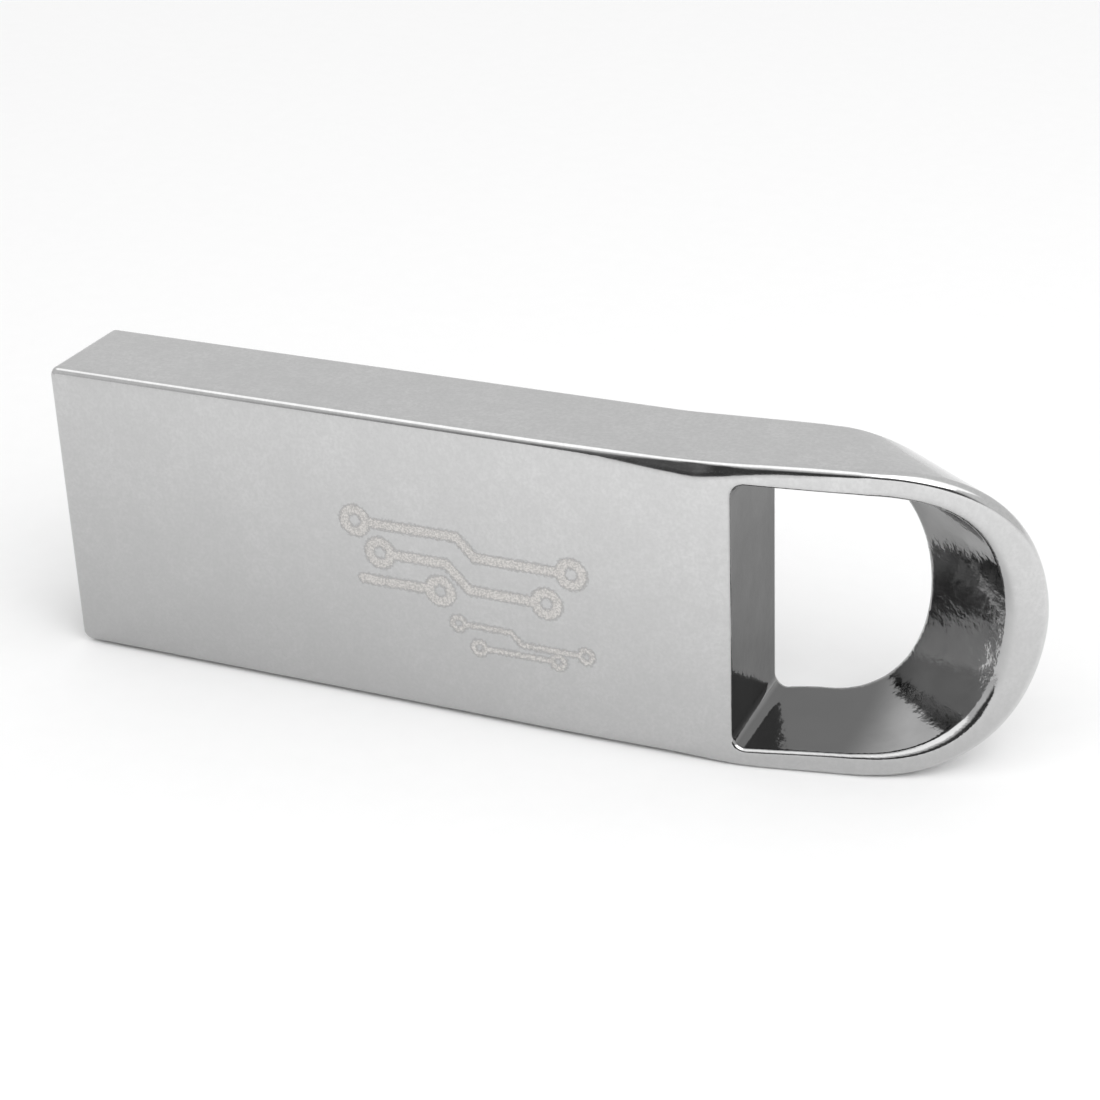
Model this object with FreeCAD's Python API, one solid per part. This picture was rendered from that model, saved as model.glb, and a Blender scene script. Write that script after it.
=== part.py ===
"""USB flash drive: a one-piece metal body that is plug shell and key-ring loop in one, with a moulded
storage module on a plastic carrier inside.

The drive stands on its long narrow edge: +X runs from the plug's mouth to the key-ring loop, +Z runs across
the plug's 12 mm width, and the plain large face looks towards -Y. Everything is built with X = 0 at the
mouth, Y = 0 on the large front face and Z = 0 at mid width, then moved so that the origin is at the bottom
centre of the housing. Millimetres throughout.
"""

import FreeCAD, Part
import math
import os

from FreeCAD import Vector

# ---- driving dimensions of the metal body ---------------------------------------------------------------
PLUG_WIDTH = 12.1            # Z, the width of a standard-A plug, 12.0 +- 0.1
PLUG_THICKNESS = 4.55        # Y
HALF_WIDTH = PLUG_WIDTH / 2
WALL = 0.32                  # wall around the cavity
CAVITY_DEPTH = 26.0          # from the mouth

FRONT_BEND_X = 26.95         # the front face starts to bend backwards here
FRONT_BEND_RADIUS = 11.8
FRONT_SLOPE = math.asin(0.2062)
FRONT_CURL_X = 32.75         # and curls further from here to the tip
FRONT_CURL_RADIUS = 13.77
FRONT_CURL_TURN = math.radians(44)
BACK_BEND_X = 24.59
BACK_BEND_RADIUS = 14.75
BACK_SLOPE = math.atan(0.10)

# The loop's walls are ruled between an outline at the front plane and one at the back plane. An outline is
# (end centre X, end length in X, half width, roundness exponent of the end).
OUTLINE_SPACING = 5.705      # Y distance between the two planes
END_STEPS = 7                # points that a rounded end is drawn through, beyond its side
FLARE_START_X = 25.57        # the sides begin to widen here
FLARE_END_X = 30.49
OUTER_FRONT = (34.97, 13.10, 6.20, 1.72)
OUTER_BACK = (30.49, 6.96, 6.03, 1.76)
HOLE_WALL_X = 28.58          # the flat wall of the D-shaped hole
HOLE_CORNER_RADIUS = 0.55
HOLE_FRONT = (34.33, 9.923, 5.304, 1.825)
HOLE_BACK = (29.95, 4.02, 4.90, 2.06)
HOLE_FRONT_HALF_AT_WALL = 5.36
HOLE_BACK_HALF_AT_WALL = 5.06

EDGE_RADIUS = 0.28           # rounding of the long outer edges
TIP_EDGE_RADIUS = 0.55       # the front rounding grows to this at the tip
MOUTH_EDGE_RADIUS = 0.12
END_CORNER_RADIUS = 0.22     # the two corners of the plug end, seen on the large face
HOLE_EDGE_RADIUS = 0.18      # of the hole's front edge
HOLE_BACK_EDGE_RADIUS = 0.08

# Shallow bevel where each long front edge passes into the loop. Its depth is given along its own normal, as
# (X, distance from mid width plane along the normal).
BEVEL_TILT = math.radians(20)
BEVEL_LINE = ((21.0, 2.035), (22.5, 2.000), (24.0, 1.962), (25.5, 1.922), (27.1, 1.890),
              (28.2, 1.870), (29.0, 1.805), (30.0, 1.645), (31.4, 1.390), (33.0, 1.125))

LATCH_WINDOW_X = 5.16        # the receptacle's springs drop into these two windows
LATCH_WINDOW_LENGTH = 2.0
LATCH_WINDOW_WIDTH = 2.5
LATCH_WINDOW_OFFSET = 2.85

# ---- driving dimensions of the storage module and its carrier ---------------------------------------------
GLUE = 0.03
CARRIER_GLUE_X, CARRIER_GLUE_WIDTH = (9.0, 24.0), 10.0
MODULE_GLUE_X, MODULE_GLUE_WIDTH = (1.5, 24.5), 10.6
CARRIER_FLOOR = 0.50
CARRIER_X = (0.25, 25.90)
CARRIER_LIP_DROP = 0.12      # the front lip stands this much lower than the substrate's outer face
CARRIER_LEAD_IN = 0.15
MODULE_X = (0.55, 25.35)
MODULE_WIDTH = 11.30
MOULD_THICKNESS = 1.10
SUBSTRATE_THICKNESS = 0.30
PAD = 0.03                   # gold contacts, test pads and wire bond pads
FIT_GAP = 0.02

# A contact is (length, width, distance from mid width); all four end at the same X.
OUTER_CONTACT = (7.4, 1.6, 3.5)
INNER_CONTACT = (6.4, 1.3, 1.0)
CONTACT_END_X = MODULE_X[0] + 8.2
CONTACT_CORNER_RADIUS = 0.25
TEST_PAD_RADIUS = 0.35
TEST_PAD_X = MODULE_X[0] + 10.6      # of the first pad in a row
TEST_PAD_PITCH = (1.5, 2.6)          # along X and along Z
TEST_PAD_COUNT = (7, 3)

FILM = 0.03                  # die attach film
CONTROLLER_CENTRE_X = 9.6
CONTROLLER_SIDE = 3.4
CONTROLLER_THICKNESS = 0.20
CONTROLLER_PADS = 6          # bond pads along each side
CONTROLLER_PAD_PITCH = (0.5, 0.62)   # on the die and on the substrate
CONTROLLER_PAD_PLACE = (0.12, 0.45)  # inside the die's edge and outside it
FLASH_X = (13.9, 23.9)
FLASH_WIDTH = 8.6
FLASH_THICKNESS = 0.15
FLASH_STEP = 0.6             # the upper die is set back so that the lower one's pads stay free
FLASH_PADS = 9
FLASH_PAD_PITCH = 0.85
FLASH_PAD_INSET = 0.15
FLASH_ROW_PITCH = 0.35       # from the die's edge to the first row of pads, and on to the second row
FLASH_ROW_SHIFT = 0.4        # sideways, between the two dies' rows
WIRE = 0.04
WIRE_RISE = 0.12
WIRE_CREST = 0.6             # share of the run after which the wire falls
BOND_PAD = 0.16

CHIP = (0.60, 0.30)          # footprint of the chip capacitors and resistors
CAPACITOR_HEIGHT = 0.30
RESISTOR_HEIGHT = 0.23
SOLDER = 0.03
SOLDER_INNER_END = 0.22      # share of a part's length, from its centre
CAPACITOR_PLACES = [(2.4 + 1.5 * step, side * 4.3) for step in range(5) for side in (-1, 1)]
RESISTOR_PLACES = [(10.9 + 1.1 * step, side * 4.6) for step in range(2) for side in (-1, 1)]
CRYSTAL_PLACE = (4.2, 0.0)
CRYSTAL_SIZE = (2.0, 0.50, 1.6)
CRYSTAL_PADS = (1.5, 1.2)    # solder under the can, over its ends and across
CRYSTAL_CORNER_RADIUS = 0.2

# ---- where the layers lie ---------------------------------------------------------------------------------
CAVITY_HALF = HALF_WIDTH - WALL
BACK_WALL_Y = PLUG_THICKNESS - WALL
CARRIER_Y = BACK_WALL_Y - GLUE                        # the carrier's underside
MODULE_GLUE_Y = CARRIER_Y - CARRIER_FLOOR
MOULD_Y = MODULE_GLUE_Y - GLUE                        # the mould compound's outer face
SUBSTRATE_Y = MOULD_Y - MOULD_THICKNESS               # the substrate's inner face
CONTACT_Y = SUBSTRATE_Y - SUBSTRATE_THICKNESS         # the substrate's outer face, which the contacts lie on
CONTROLLER_X = (CONTROLLER_CENTRE_X - CONTROLLER_SIDE / 2, CONTROLLER_CENTRE_X + CONTROLLER_SIDE / 2)
LOFT_Y = (-0.6, 6.6)         # the ruled walls run past both faces, to these two planes
CUTTER_HALF = 10.0           # half width of the sheets and solids that cut the whole width
BEVEL_TOOL = (4.0, 3.0, 6.0) # the bevel's cutter: its height, its start from mid width and its length across


def arc_on(start, heading, radius, turn):
    """Arc that leaves start in the direction heading (radians in XY) and turns towards +Y."""
    centre = start + Vector(-math.sin(heading), math.cos(heading), 0) * radius

    def at(angle):
        return centre + Vector(math.sin(heading + angle), -math.cos(heading + angle), 0) * radius

    return Part.Arc(start, at(turn / 2), at(turn)).toShape(), at(turn), heading + turn


def sheet_across(edges):
    """Extrude a chain of profile edges over the whole width."""
    wire = Part.Wire(edges)
    wire.translate(Vector(0, 0, -CUTTER_HALF))
    return wire.extrude(Vector(0, 0, 2 * CUTTER_HALF))


def front_profile():
    """The large front face seen along Z: flat, bent back, straight, curled."""
    bend_start = Vector(FRONT_BEND_X, 0, 0)
    bend, bend_end, heading = arc_on(bend_start, 0.0, FRONT_BEND_RADIUS, FRONT_SLOPE)
    run = (FRONT_CURL_X - bend_end.x) / math.cos(heading)
    curl_start = bend_end + Vector(math.cos(heading), math.sin(heading), 0) * run
    curl, curl_end, _ = arc_on(curl_start, heading, FRONT_CURL_RADIUS, FRONT_CURL_TURN)
    edges = [Part.LineSegment(Vector(-1, 0, 0), bend_start).toShape(), bend,
             Part.LineSegment(bend_end, curl_start).toShape(), curl]
    return edges, curl_end


def back_profile(end_x):
    """The large back face seen along Z: flat, then slightly swollen behind the loop."""
    bend_start = Vector(BACK_BEND_X, PLUG_THICKNESS, 0)
    bend, bend_end, heading = arc_on(bend_start, 0.0, BACK_BEND_RADIUS, BACK_SLOPE)
    end = bend_end + Vector(1, math.tan(heading), 0) * (end_x - bend_end.x)
    return [Part.LineSegment(Vector(-1, PLUG_THICKNESS, 0), bend_start).toShape(), bend,
            Part.LineSegment(bend_end, end).toShape()], end


def end_point(outline, angle):
    """Point (X, half width) of an outline's rounded end; angle 90 deg is its side and 0 its tip."""
    centre, length, half, roundness = outline
    power = 2.0 / roundness
    return (centre + length * max(math.cos(angle), 0.0) ** power,
            half * max(math.sin(angle), 0.0) ** power)


def end_points(outline):
    """The end's points from its side to its tip, at equal angles."""
    return [end_point(outline, math.pi / 2 * (1 - step / END_STEPS)) for step in range(END_STEPS + 1)]


def outer_points(outline):
    """Half outline of the body's flare and the loop's end, from the flare's start to the tip."""
    points = []
    for step in range(4):
        share = step / 4
        ease = share * share * (3 - 2 * share)
        points.append((FLARE_START_X + share * (FLARE_END_X - FLARE_START_X),
                       HALF_WIDTH + (outline[2] - HALF_WIDTH) * ease))
    return points + end_points(outline)


def hole_points(outline, half_at_wall):
    """Half outline of the hole, from the end of its corner at the flat wall to the tip."""
    return [(HOLE_WALL_X + HOLE_CORNER_RADIUS, half_at_wall)] + end_points(outline)


def at_depth(front, back, depth):
    """Points on the straight lines that join two outlines, at a given Y."""
    share = depth / OUTLINE_SPACING
    return [Vector(f[0] + (b[0] - f[0]) * share, depth, f[1] + (b[1] - f[1]) * share)
            for f, b in zip(front, back)]


def mirrored(point):
    return Vector(point.x, point.y, -point.z)


def closed_wire(side_edges, front, back, depth):
    """Outline at a given Y, mirrored about Z = 0: straight sides, then one curve to the tip."""
    points, middle_points = at_depth(front, back, depth), at_depth(front, back, OUTLINE_SPACING / 2)
    lengths = [0.0]
    for start, end in zip(middle_points, middle_points[1:]):
        lengths.append(lengths[-1] + start.distanceToPoint(end))
    shares = [length / lengths[-1] for length in lengths]
    first_speed = points[0].distanceToPoint(points[1]) / shares[1]
    last_speed = points[-2].distanceToPoint(points[-1]) / (1 - shares[-2])
    curve = Part.BSplineCurve()
    curve.interpolate(Points=points, Parameters=shares, InitialTangent=Vector(first_speed, 0, 0),
                      FinalTangent=Vector(0, 0, -last_speed))
    upper = side_edges(points[0]) + [curve.toShape()]
    lower = [edge.mirror(Vector(), Vector(0, 0, 1)) for edge in reversed(upper)]
    return Part.Wire(Part.__sortEdges__(upper + lower))


def outer_wire(depth):
    def sides(flare_start):
        middle_of_mouth, corner = Vector(0, depth, 0), Vector(0, depth, HALF_WIDTH)
        return [Part.LineSegment(middle_of_mouth, corner).toShape(),
                Part.LineSegment(corner, flare_start).toShape()]

    return closed_wire(sides, outer_points(OUTER_FRONT), outer_points(OUTER_BACK), depth)


def hole_wire(depth):
    def sides(corner_end):
        r = HOLE_CORNER_RADIUS
        corner = corner_end - Vector(0, 0, r)
        corner_start, diagonal = corner - Vector(r, 0, 0), corner + Vector(-r, 0, r) * math.sqrt(0.5)
        return [Part.LineSegment(Vector(HOLE_WALL_X, depth, 0), corner_start).toShape(),
                Part.Arc(corner_start, diagonal, corner_end).toShape()]

    return closed_wire(sides, hole_points(HOLE_FRONT, HOLE_FRONT_HALF_AT_WALL),
                       hole_points(HOLE_BACK, HOLE_BACK_HALF_AT_WALL), depth)


def rounded(solid, radii):
    """Round edges of a solid. radii maps an edge number to the radii at its two ends."""
    document = FreeCAD.newDocument()
    base = document.addObject("Part::Feature", "base")
    base.Shape = solid
    fillet = document.addObject("Part::Fillet", "fillet")
    fillet.Base = base
    fillet.Edges = [(number, first, second) for number, (first, second) in radii.items()]
    document.recompute()
    result = fillet.Shape.Solids[0]
    FreeCAD.closeDocument(document.Name)
    return result


def middle(edge):
    return edge.valueAt((edge.FirstParameter + edge.LastParameter) / 2)


def lies_on(edge, shape):
    span = edge.LastParameter - edge.FirstParameter
    points = [edge.valueAt(edge.FirstParameter + share * span) for share in (0.2, 0.5, 0.8)]
    return all(Part.Vertex(point).distToShape(shape)[0] < 0.002 for point in points)


def body_blank():
    """The solid body and loop with the D-shaped hole through it, its edges rounded."""
    front, curl_end = front_profile()
    back, back_end = back_profile(curl_end.x)
    outline = front + back + [Part.LineSegment(curl_end, back_end).toShape(),
                              Part.LineSegment(Vector(-1, 0, 0), Vector(-1, PLUG_THICKNESS, 0)).toShape()]
    side_view = Part.Face(Part.Wire(Part.__sortEdges__(outline)))
    side_view.translate(Vector(0, 0, -CUTTER_HALF))
    walls = Part.makeLoft([outer_wire(depth) for depth in LOFT_Y], True, True)
    hole = Part.makeLoft([hole_wire(depth) for depth in LOFT_Y], True, True)
    blank = walls.common(side_view.extrude(Vector(0, 0, 2 * CUTTER_HALF))).Solids[0]

    corners = {}
    for number, edge in enumerate(blank.Edges, 1):
        if abs(middle(edge).x) < 0.01 and abs(abs(middle(edge).z) - HALF_WIDTH) < 0.01:
            corners[number] = (END_CORNER_RADIUS, END_CORNER_RADIUS)
    blank = rounded(blank, corners).cut(hole).Solids[0]

    front_sheet, back_sheet = sheet_across(front), sheet_across(back)
    walls_sheet, hole_sheet = walls.Shells[0], hole.Shells[0]
    radii = {}
    for number, edge in enumerate(blank.Edges, 1):
        on_front = lies_on(edge, front_sheet)
        if on_front == lies_on(edge, back_sheet):
            continue
        if lies_on(edge, hole_sheet):
            radius = HOLE_EDGE_RADIUS if on_front else HOLE_BACK_EDGE_RADIUS
            radii[number] = (radius, radius)
        elif lies_on(edge, walls_sheet) and middle(edge).x < 0.01:
            radii[number] = (MOUTH_EDGE_RADIUS, MOUTH_EDGE_RADIUS)
        elif lies_on(edge, walls_sheet) or middle(edge).x < END_CORNER_RADIUS:
            radii[number] = tuple(edge_radius(end.X, on_front) for end in edge.Vertexes)
    return rounded(blank, radii)


def edge_radius(x, on_front):
    """Radius of the long outer edges at a given X."""
    if x < 0.01:
        return MOUTH_EDGE_RADIUS
    if on_front and x > FRONT_CURL_X + 1:
        return TIP_EDGE_RADIUS
    return EDGE_RADIUS


def neck_bevel():
    """Tool that takes the shallow bevel off the upper long front edge; the lower one is its mirror."""
    normal = Vector(0, -math.cos(BEVEL_TILT), math.sin(BEVEL_TILT))
    across = Vector(0, math.sin(BEVEL_TILT), math.cos(BEVEL_TILT))
    line = [Vector(x, 0, 0) + normal * distance for x, distance in BEVEL_LINE]
    curve = Part.BSplineCurve()
    curve.interpolate(line)
    lift = normal * BEVEL_TOOL[0]
    corners = [line[-1], line[-1] + lift, line[0] + lift, line[0]]
    sides = [Part.LineSegment(start, end).toShape() for start, end in zip(corners, corners[1:])]
    face = Part.Face(Part.Wire([curve.toShape()] + sides))
    face.translate(across * BEVEL_TOOL[1])
    return face.extrude(across * BEVEL_TOOL[2])


def block(x, y, z):
    """Box between two X values, two Y values and two Z values."""
    corner = Vector(min(x), min(y), min(z))
    return Part.makeBox(abs(x[1] - x[0]), abs(y[1] - y[0]), abs(z[1] - z[0]), corner)


def centred(x, y, width, z=0.0):
    return block(x, y, (z - width / 2, z + width / 2))


def housing():
    bevel = neck_bevel()
    shape = body_blank().cut([bevel, bevel.mirror(Vector(), Vector(0, 0, 1))])
    shape = shape.cut(centred((-1, CAVITY_DEPTH), (WALL, BACK_WALL_Y), 2 * CAVITY_HALF))
    for side in (-1, 1):
        window = centred((LATCH_WINDOW_X, LATCH_WINDOW_X + LATCH_WINDOW_LENGTH),
                         (BACK_WALL_Y - 0.1, PLUG_THICKNESS + 1),
                         LATCH_WINDOW_WIDTH, side * LATCH_WINDOW_OFFSET)
        shape = shape.cut(window)
    return shape.Solids[0]


def module_carrier():
    """Plastic tray: floor, front lip and rear stop."""
    width = 2 * (CAVITY_HALF - FIT_GAP)
    lip_height = CONTACT_Y + CARRIER_LIP_DROP
    floor = centred(CARRIER_X, (MODULE_GLUE_Y, CARRIER_Y), width)
    lip = centred((CARRIER_X[0], MODULE_X[0] - FIT_GAP), (lip_height, CARRIER_Y), width)
    stop = centred((MODULE_X[1] + FIT_GAP, CARRIER_X[1]), (CONTACT_Y, CARRIER_Y), width)
    tray = floor.fuse([lip, stop]).removeSplitter()
    lead_in = [edge for edge in tray.Edges
               if abs(middle(edge).x - CARRIER_X[0]) < 0.001 and abs(middle(edge).y - lip_height) < 0.001]
    return tray.makeChamfer(CARRIER_LEAD_IN, lead_in).Solids[0]


def glue_film(x, lower_y, width):
    return centred(x, (lower_y, lower_y + GLUE), width)


def round_upright(solid, radius):
    """Round the edges that run along Y."""
    upright = [edge for edge in solid.Edges if abs(edge.tangentAt(edge.FirstParameter).y) > 0.9]
    return solid.makeFillet(radius, upright).Solids[0]


def contact(size, side):
    """Gold contact finger with rounded corners, on one side of mid width."""
    length, width, offset = size
    ends = (CONTACT_END_X - length, CONTACT_END_X)
    finger = centred(ends, (CONTACT_Y - PAD, CONTACT_Y), width, side * offset)
    return round_upright(finger, CONTACT_CORNER_RADIUS)


def test_pads():
    """Round pads in rows behind the contacts, centred on mid width."""
    pads = []
    columns, rows = TEST_PAD_COUNT
    for row in range(rows):
        z = (row - (rows - 1) / 2) * TEST_PAD_PITCH[1]
        for column in range(columns):
            centre = Vector(TEST_PAD_X + TEST_PAD_PITCH[0] * column, CONTACT_Y - PAD, z)
            pads.append(Part.makeCylinder(TEST_PAD_RADIUS, PAD, centre, Vector(0, 1, 0)))
    return pads


def die(x, width, lower, thickness):
    """Silicon die or its film; lower is its distance above the substrate's inner face."""
    return centred(x, (SUBSTRATE_Y + lower, SUBSTRATE_Y + lower + thickness), width)


def bond_wire(start, end):
    """Flat-section wire that rises from a die's pad, runs across and drops to a pad on the substrate."""
    run = Vector(end.x - start.x, 0, end.z - start.z)
    reach = run.Length
    along = run * (1 / reach)
    side = along.cross(Vector(0, 1, 0)) * (WIRE / 2)
    top = max(start.y, end.y) + WIRE_RISE

    def at(distance, y):
        return Vector(start.x, 0, start.z) + along * distance + Vector(0, y, 0) - side

    crest = WIRE_CREST * reach
    outer = [at(0, start.y), at(0, top), at(crest, top), at(reach, end.y + 2 * WIRE), at(reach, end.y)]
    inner = [at(reach - WIRE, end.y), at(reach - WIRE, end.y + 1.5 * WIRE), at(crest - WIRE / 2, top - WIRE),
             at(WIRE, top - WIRE), at(WIRE, start.y)]
    return Part.Face(Part.makePolygon(outer + inner + [outer[0]])).extrude(side * 2)


def controller_wires():
    """Wires and substrate pads on all four sides of the controller."""
    wires, pads = [], []
    die_top = SUBSTRATE_Y + FILM + CONTROLLER_THICKNESS
    inset, reach = CONTROLLER_PAD_PLACE
    for step in range(CONTROLLER_PADS):
        places = [(step - (CONTROLLER_PADS - 1) / 2) * pitch for pitch in CONTROLLER_PAD_PITCH]
        for dx, dz in ((-1, 0), (1, 0), (0, -1), (0, 1)):
            along, out = Vector(abs(dz), 0, abs(dx)), Vector(dx, 0, dz)
            edge = Vector(CONTROLLER_CENTRE_X, 0, 0) + out * (CONTROLLER_SIDE / 2)
            start = edge - out * inset + along * places[0] + Vector(0, die_top, 0)
            end = edge + out * reach + along * places[1] + Vector(0, SUBSTRATE_Y + PAD, 0)
            wires.append(bond_wire(start, end))
            pads.append(bond_pad(end))
    return wires, pads


def flash_wires():
    """Wires from the memory dies' pad row, each die to its own row of pads on the substrate."""
    wires, pads = [], []
    for level in range(2):
        die_top = SUBSTRATE_Y + (level + 1) * (FILM + FLASH_THICKNESS)
        for step in range(FLASH_PADS):
            z = (step - (FLASH_PADS - 1) / 2) * FLASH_PAD_PITCH + level * FLASH_ROW_SHIFT
            start = Vector(FLASH_X[0] + level * FLASH_STEP + FLASH_PAD_INSET, die_top, z)
            end = Vector(FLASH_X[0] - (level + 1) * FLASH_ROW_PITCH, SUBSTRATE_Y + PAD, z)
            wires.append(bond_wire(start, end))
            pads.append(bond_pad(end))
    return wires, pads


def bond_pad(point):
    corner = point - Vector(BOND_PAD / 2, PAD, BOND_PAD / 2)
    return Part.makeBox(BOND_PAD, PAD, BOND_PAD, corner)


def chip(place, height):
    x, z = place
    length, width = CHIP
    lower = SUBSTRATE_Y + SOLDER
    return block((x - length / 2, x + length / 2), (lower, lower + height), (z - width / 2, z + width / 2))


def solder_under(place, length, width):
    """Two solder layers, one under each end of a part."""
    x, z = place
    layers = []
    for end in (-1, 1):
        ends = (x + end * length * SOLDER_INNER_END, x + end * length / 2)
        layers.append(centred(ends, (SUBSTRATE_Y, SUBSTRATE_Y + SOLDER), width, z))
    return layers


def clock_crystal():
    x, z = CRYSTAL_PLACE
    length, height, width = CRYSTAL_SIZE
    lower = SUBSTRATE_Y + SOLDER
    case = block((x - length / 2, x + length / 2), (lower, lower + height), (z - width / 2, z + width / 2))
    return round_upright(case, CRYSTAL_CORNER_RADIUS)


def storage_module():
    """Everything of the moulded storage module, as a dictionary of node name to solids."""
    nodes = {
        "module_substrate": [centred(MODULE_X, (CONTACT_Y, SUBSTRATE_Y), MODULE_WIDTH)],
        "contact_vbus": [contact(OUTER_CONTACT, -1)],
        "contact_d_minus": [contact(INNER_CONTACT, -1)],
        "contact_d_plus": [contact(INNER_CONTACT, 1)],
        "contact_gnd": [contact(OUTER_CONTACT, 1)],
        "factory_test_pads": test_pads(),
    }

    controller_bonds, controller_pads = controller_wires()
    flash_bonds, flash_pads = flash_wires()
    flash_upper_x = (FLASH_X[0] + FLASH_STEP, FLASH_X[1] + FLASH_STEP)
    layer = FILM + FLASH_THICKNESS
    chip_places = CAPACITOR_PLACES + RESISTOR_PLACES
    chip_solder = [solder for place in chip_places for solder in solder_under(place, *CHIP)]
    inside = {
        "controller_attach_film": [die(CONTROLLER_X, CONTROLLER_SIDE, 0, FILM)],
        "controller_die": [die(CONTROLLER_X, CONTROLLER_SIDE, FILM, CONTROLLER_THICKNESS)],
        "flash_attach_film_lower": [die(FLASH_X, FLASH_WIDTH, 0, FILM)],
        "flash_die_lower": [die(FLASH_X, FLASH_WIDTH, FILM, FLASH_THICKNESS)],
        "flash_attach_film_upper": [die(flash_upper_x, FLASH_WIDTH, layer, FILM)],
        "flash_die_upper": [die(flash_upper_x, FLASH_WIDTH, layer + FILM, FLASH_THICKNESS)],
        "bond_wires_controller": controller_bonds,
        "bond_wires_flash": flash_bonds,
        "wire_bond_pads": controller_pads + flash_pads,
        "clock_crystal": [clock_crystal()],
        "decoupling_capacitors": [chip(place, CAPACITOR_HEIGHT) for place in CAPACITOR_PLACES],
        "resistors": [chip(place, RESISTOR_HEIGHT) for place in RESISTOR_PLACES],
        "solder_joints": chip_solder + solder_under(CRYSTAL_PLACE, *CRYSTAL_PADS),
    }
    mould = centred(MODULE_X, (SUBSTRATE_Y, MOULD_Y), MODULE_WIDTH)
    nodes["mould_compound"] = [mould.cut([solid for solids in inside.values() for solid in solids])]
    return {**nodes, **inside}


def assembly():
    nodes = {
        "housing": [housing()],
        "module_carrier": [module_carrier()],
        "carrier_glue": [glue_film(CARRIER_GLUE_X, CARRIER_Y, CARRIER_GLUE_WIDTH)],
        "module_glue": [glue_film(MODULE_GLUE_X, MOULD_Y, MODULE_GLUE_WIDTH)],
    }
    nodes.update(storage_module())
    return nodes


def save(nodes):
    """Write one STEP file per node, with the origin at the housing's bottom centre."""
    corners, _ = nodes["housing"][0].tessellate(0.005)
    low = [min(getattr(corner, axis) for corner in corners) for axis in ("x", "y", "z")]
    high = [max(getattr(corner, axis) for corner in corners) for axis in ("x", "y", "z")]
    shift = Vector(-(low[0] + high[0]) / 2, -(low[1] + high[1]) / 2, -low[2])
    os.makedirs("parts", exist_ok=True)
    for name, solids in nodes.items():
        shape = solids[0] if len(solids) == 1 else Part.makeCompound(solids)
        shape = shape.copy()
        shape.translate(shift)
        shape.exportStep(f"parts/{name}.step")
        print(f"{name}: {len(shape.Solids)} solid(s), {shape.Volume:.4f} mm3, valid {shape.isValid()}")
    print("housing size", [round(b - a, 3) for a, b in zip(low, high)], "moved by", shift)


save(assembly())
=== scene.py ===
import math

import bpy
import numpy as np
from mathutils import Matrix, Vector


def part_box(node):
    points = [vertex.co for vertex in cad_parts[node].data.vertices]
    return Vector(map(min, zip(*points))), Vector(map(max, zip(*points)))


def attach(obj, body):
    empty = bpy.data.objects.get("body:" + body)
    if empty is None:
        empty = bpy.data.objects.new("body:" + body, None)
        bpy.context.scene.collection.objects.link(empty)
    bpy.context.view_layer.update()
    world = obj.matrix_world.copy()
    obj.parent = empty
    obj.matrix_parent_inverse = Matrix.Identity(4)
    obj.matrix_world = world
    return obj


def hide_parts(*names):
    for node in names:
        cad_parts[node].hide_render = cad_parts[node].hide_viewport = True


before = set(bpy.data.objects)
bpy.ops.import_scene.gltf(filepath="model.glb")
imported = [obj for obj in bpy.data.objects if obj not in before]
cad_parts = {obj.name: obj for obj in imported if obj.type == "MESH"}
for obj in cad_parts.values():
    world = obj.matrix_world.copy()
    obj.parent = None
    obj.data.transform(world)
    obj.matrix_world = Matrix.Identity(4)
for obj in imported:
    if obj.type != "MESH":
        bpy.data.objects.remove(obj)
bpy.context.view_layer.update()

MM = 0.001

# Camera: where it stands in the part's frame, in metres, and its right and up directions.
CAMERA_PLACE = Vector((0.03996, -0.08174, 0.05070))
CAMERA_RIGHT = Vector((0.90832, 0.41650, -0.03846))
CAMERA_UP = Vector((-0.15189, 0.41412, 0.89746))
LENS_MM = 86.62
SENSOR_MM = 36.0
NEAREST_SEEN, FARTHEST_SEEN = 0.001, 10.0

# The studio: a pale floor, even light all round, a strip light above and a dim room in front of the drive.
# Heights are sines of the elevation, as (where a change begins, where it is complete).
FLOOR_RADIUS, FLOOR_SIDES = 3.0, 96
FLOOR_TONES, FLOOR_FIBRE = (0.89, 0.91), (900.0, 3.0)
HORIZON_LIGHT, OVERHEAD_LIGHT = 0.78, 0.80
OVERHEAD_HEIGHT = (0.52, 0.85)
FRONT = Vector((0.30, -0.95, 0.0)).normalized()
DIM_SHARE = 0.07                              # what is left of the light in the dim room
DIM_FACING = (0.58, 0.82)                     # how squarely a direction has to face the front
DIM_TOP = (0.26, 0.46)
STRIP_LIGHT = 0.85
STRIP_BOTTOM, STRIP_TOP = (0.50, 0.60), (0.90, 0.97)
STRIP_FACING = (-0.10, 0.15)
SOFTBOX_PLACE = Vector((0.085, -0.075, 0.10))
SOFTBOX_SIZE, SOFTBOX_WATTS = 0.11, 0.064

# The finished metal shell, in mm with X = 0 at the mouth, Y = 0 on the front face and Z = 0 at mid width.
HALF_WIDTH, THICKNESS, WALL, CAVITY_DEPTH = 6.05, 4.55, 0.32, 26.0
FRONT_BEND_X, FRONT_BEND_RADIUS, FRONT_SLOPE = 26.95, 11.8, math.asin(0.2062)
FRONT_CURL_X, FRONT_CURL_RADIUS = 32.75, 13.77
BACK_BEND_X, BACK_BEND_RADIUS, BACK_SLOPE = 24.59, 14.75, math.atan(0.10)
FLARE_START_X, FLARE_END_X = 25.57, 30.49
OUTLINE_SPACING = 5.705                       # Y distance from the front outlines to the back ones
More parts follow.
